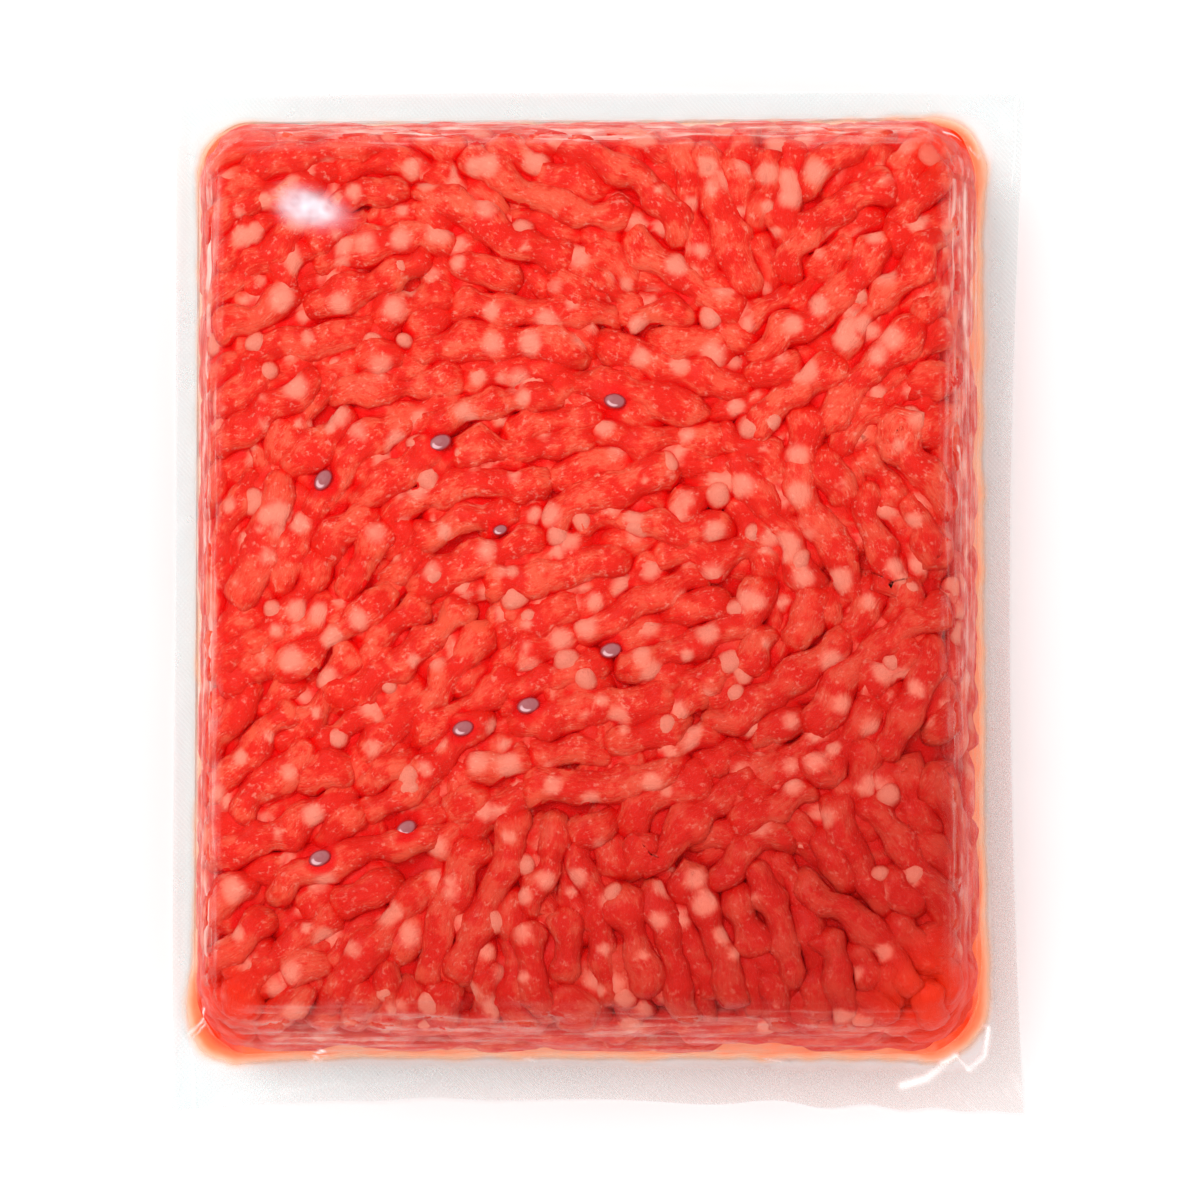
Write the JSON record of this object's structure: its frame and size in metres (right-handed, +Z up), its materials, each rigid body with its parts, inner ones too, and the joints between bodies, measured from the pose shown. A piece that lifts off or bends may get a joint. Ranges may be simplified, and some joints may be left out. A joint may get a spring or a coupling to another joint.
{
  "type": "vacuum pack of minced meat",
  "caption": "Flat rectangular vacuum pack: a block of red minced meat shrunk tight under clear film, with a flat welded margin all round and juice in the corners.",
  "frame": {"origin": "middle of the pack's outline, on the surface that it lies on", "axes": "+X to the right and +Y to the back for someone who looks at the formed side from the front, +Z up from the flat underside"},
  "size_m": [0.142, 0.17, 0.0292],
  "materials": {
    "film": "clear, knurled in the margin",
    "mince": "moist raw meat under tight clear film",
    "juice": "wet, translucent"
  },
  "bodies": {
    "root": {"film_sheet": "film", "mince": "mince", "juice_back_right": "juice", "juice_back_left": "juice", "juice_front_left": "juice", "juice_front_right": "juice"}
  },
  "joints": []
}
